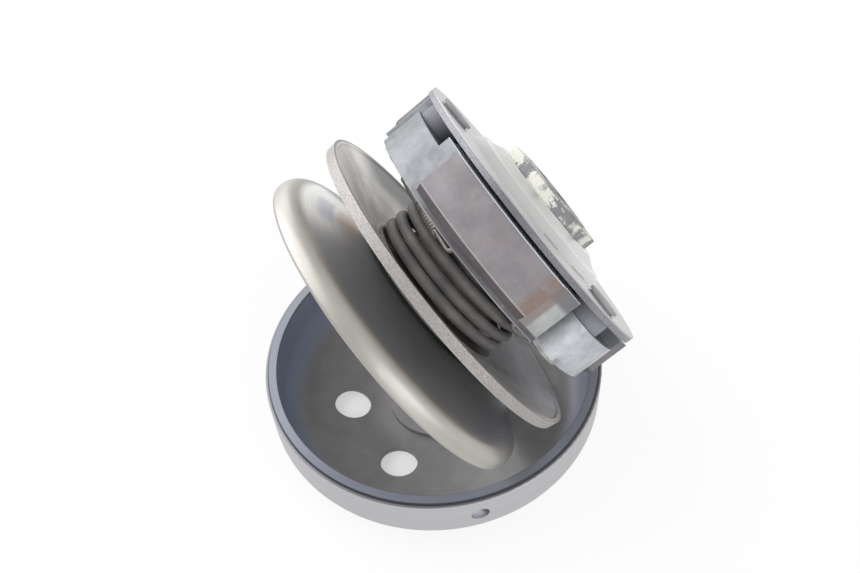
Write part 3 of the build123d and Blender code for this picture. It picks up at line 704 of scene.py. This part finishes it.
def add_contra_spring(material):
    """The heavy spring, whose end coils lie close."""
    close_turn = 2 * SPRING_WIRE + SPRING_CLOSE_GAP
    open_turn = (SPRING_TOP - SPRING_FOOT - 2 * close_turn) / (SPRING_TURNS - 2)
    path = []
    for step in range(SPRING_TURNS * SPRING_STEPS_A_TURN + 1):
        turns = step / SPRING_STEPS_A_TURN
        close_turns = min(turns, 1) + max(turns - (SPRING_TURNS - 1), 0)
        station = SPRING_FOOT + close_turns * close_turn + (turns - close_turns) * open_turn
        path.append(pulley_point(SPRING_RADIUS, SPRING_START + 360 * turns, station))
    spring = add_wire("contra_spring_coils", path, SPRING_WIRE * MM, material, SPRING_SIDES)
    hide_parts("contra_spring")
    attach(spring, "root")
    seat = pulley_point(0, 0, SPRING_SEAT)
    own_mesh(spring)


# The return springs, which run from shoe to shoe. SHOE_PHASE is the angle of the first shoe's pin,
# HOOK_BACK and HOOK_FRONT are the angles of a spring's two hooks from the pin that lies between
# them, and COIL_SHARE is the share of a spring's length that is coiled
SHOES = 3
SHOE_PHASE = 31.0
SHOE_FACE = 44.5
HOOK_CIRCLE = 52.0
HOOK_BACK = -20.0
HOOK_FRONT = 57.5
HOOK_DEPTH = 4.6
HOOK_BEND = 1.6
HOOK_BEND_STEPS = 6
RETURN_STATION = 41.1
RETURN_COIL = 2.0
RETURN_WIRE = 1.0
RETURN_PITCH = 2.08
RETURN_COIL_SHARE = 0.62
RETURN_STEPS_A_TURN = 16
RETURN_ARM_STEPS = 8
RETURN_SIDES = 8


def add_return_spring_half(shoe, spring_phase, side, material):
    """Half a return spring, from its middle to the hook in a shoe.

    The side is 1 for the half that runs onwards round the axis and -1 for the other.
    """
    half_angle = radians((HOOK_FRONT - HOOK_BACK) / 2)
    middle_angle = spring_phase + (HOOK_FRONT + HOOK_BACK) / 2
    outwards = pulley_across(middle_angle)
    onwards = PULLEY_AXIS.cross(outwards) * side
    middle = pulley_point(HOOK_CIRCLE * cos(half_angle), middle_angle, RETURN_STATION)
    reach = HOOK_CIRCLE * sin(half_angle)
    coil_reach = reach * RETURN_COIL_SHARE
    coil_steps = round(coil_reach / RETURN_PITCH) * RETURN_STEPS_A_TURN

    def point(out, on, up):
        """A point by its way outwards, onwards and along the axis from the spring's middle."""
        return middle + (outwards * out + onwards * on + PULLEY_AXIS * up) * MM

    path = []
    for step in range(coil_steps + 1):
        turn = 2 * pi * step / RETURN_STEPS_A_TURN
        path.append(point(cos(turn) * RETURN_COIL, coil_reach * step / coil_steps, sin(turn) * RETURN_COIL))
    arm = reach - HOOK_BEND - coil_reach
    for step in range(1, RETURN_ARM_STEPS + 1):
        share = step / RETURN_ARM_STEPS
        path.append(point(RETURN_COIL * (1 - share), coil_reach + arm * share, 0))
    for step in range(1, HOOK_BEND_STEPS + 1):
        turn = pi / 2 * step / HOOK_BEND_STEPS
        path.append(point(0, reach - HOOK_BEND + HOOK_BEND * sin(turn), HOOK_BEND * (1 - cos(turn))))
    path.append(point(0, reach, SHOE_FACE - RETURN_STATION + HOOK_DEPTH))

    name = f"return_spring_at_{shoe}_{'front' if side > 0 else 'back'}"
    half = add_wire(name, path, RETURN_WIRE * MM, material, RETURN_SIDES)
    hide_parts("return_springs")
    tuple(middle + onwards * reach * MM)
    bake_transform(half)


wire_steel = plain_steel("spring wire steel", (0.12, 0.118, 0.12), (0.26, 0.245, 0.235), 0.6, metallic=0.2)
hook_steel = plain_steel("return spring steel", (0.24, 0.225, 0.21), (0.36, 0.34, 0.32), 0.45, metallic=0.7)
add_contra_spring(wire_steel)
for spring in range(SHOES):
    phase = SHOE_PHASE + 360 / SHOES * spring
    shoe_in_front = spring + 1
    shoe_behind = (spring - 1) % SHOES + 1
    add_return_spring_half(f"shoe_{shoe_in_front}", phase, 1, hook_steel)
    add_return_spring_half(f"shoe_{shoe_behind}", phase, -1, hook_steel)


# Floor, light and camera

FLOOR_SIZE = 6
FLOOR_GLOW = 0.84
SHADE_UNDER_BELL = 0.42
ROOM_LIGHT = 0.8
CAMERA_PLACE = Vector((-92.6, -255.8, 412.8)) * MM
CAMERA_AIM = Vector((0.2216, 0.6024, -0.7668))
CAMERA_ROLL = -0.0804
CAMERA_LENS = 41.86
CAMERA_SENSOR = 36


def white_when_seen(name, glow_share, colour):
    """A pale diffuse surface that is white where the camera or a reflection sees it.

    It is darker under the bell, whose holes show a shaded floor.
    """
    surface = Surface(name)
    diffuse = surface.node("ShaderNodeBsdfDiffuse", None, {"Color": rgba(colour), "Roughness": 1.0})
    glow = surface.node("ShaderNodeEmission", None, {"Color": rgba(grey(1.0)), "Strength": 1.0})
    seen = surface.node("ShaderNodeLightPath", output="Is Camera Ray")
    mirrored = surface.node("ShaderNodeLightPath", output="Is Glossy Ray")
    through = surface.node("ShaderNodeLightPath", output="Is Transmission Ray")
    under_bell = Turned(surface, leaning=False).past_radius(66, 60)
    share = (seen + mirrored + through).clamped() * (glow_share - under_bell * SHADE_UNDER_BELL)
    return surface.show(surface.node("ShaderNodeMixShader", None, {0: share, 1: diffuse, 2: glow}))


def add_floor():
    """A wide floor on which the bell stands."""
    bpy.ops.mesh.primitive_plane_add(size=FLOOR_SIZE, location=(0, 0, 0))
    floor = bpy.context.object
    floor.name = "floor"
    floor.data.materials.append(white_when_seen("pale floor", FLOOR_GLOW, grey(0.9)))


def add_world():
    """Even white light from all round."""
    world = bpy.data.worlds.new("soft room")
    bpy.context.scene.world = world
    world.use_nodes = True
    background = world.node_tree.nodes["Background"]
    background.inputs["Color"].default_value = rgba(grey(1.0))
    background.inputs["Strength"].default_value = ROOM_LIGHT


def add_lamp(name, place, aim, width, height, power):
    """A soft rectangular lamp that points from its place to its aim."""
    lamp = bpy.data.lights.new(name, "AREA")
    lamp.shape = "RECTANGLE"
    lamp.size = width
    lamp.size_y = height
    lamp.energy = power
    holder = bpy.data.objects.new(name, lamp)
    holder.location = place
    holder.rotation_euler = (Vector(aim) - Vector(place)).to_track_quat("-Z", "Y").to_euler()
    bpy.context.scene.collection.objects.link(holder)


def add_camera():
    """The photograph's viewpoint, found from the outlines of the turned parts."""
    forward = CAMERA_AIM.normalized()
    level = forward.cross(UP).normalized()
    raised = level.cross(forward)
    right = level * cos(CAMERA_ROLL) + raised * sin(CAMERA_ROLL)
    up = raised * cos(CAMERA_ROLL) - level * sin(CAMERA_ROLL)
    lens = bpy.data.cameras.new("camera")
    lens.lens = CAMERA_LENS
    lens.sensor_width = CAMERA_SENSOR
    lens.clip_start = 0.01
    camera = bpy.data.objects.new("camera", lens)
    turn = Matrix((right, up, -forward)).transposed().to_4x4()
    camera.matrix_world = Matrix.Translation(CAMERA_PLACE) @ turn
    bpy.context.scene.collection.objects.link(camera)
    bpy.context.scene.camera = camera


add_floor()
add_world()
add_lamp("soft_light_behind", (-0.62, 0.62, 0.9), (0, 0, 0.06), width=1.3, height=1.3, power=9)
add_lamp("window_behind", (-0.25, 1.1, 0.4), (0, 0, 0.08), width=1.4, height=0.8, power=5)
add_lamp("soft_light_front", (0.15, -1.1, 0.55), (0, 0, 0.06), width=1.2, height=0.8, power=5)
add_camera()
bpy.context.scene.view_settings.view_transform = "Standard"
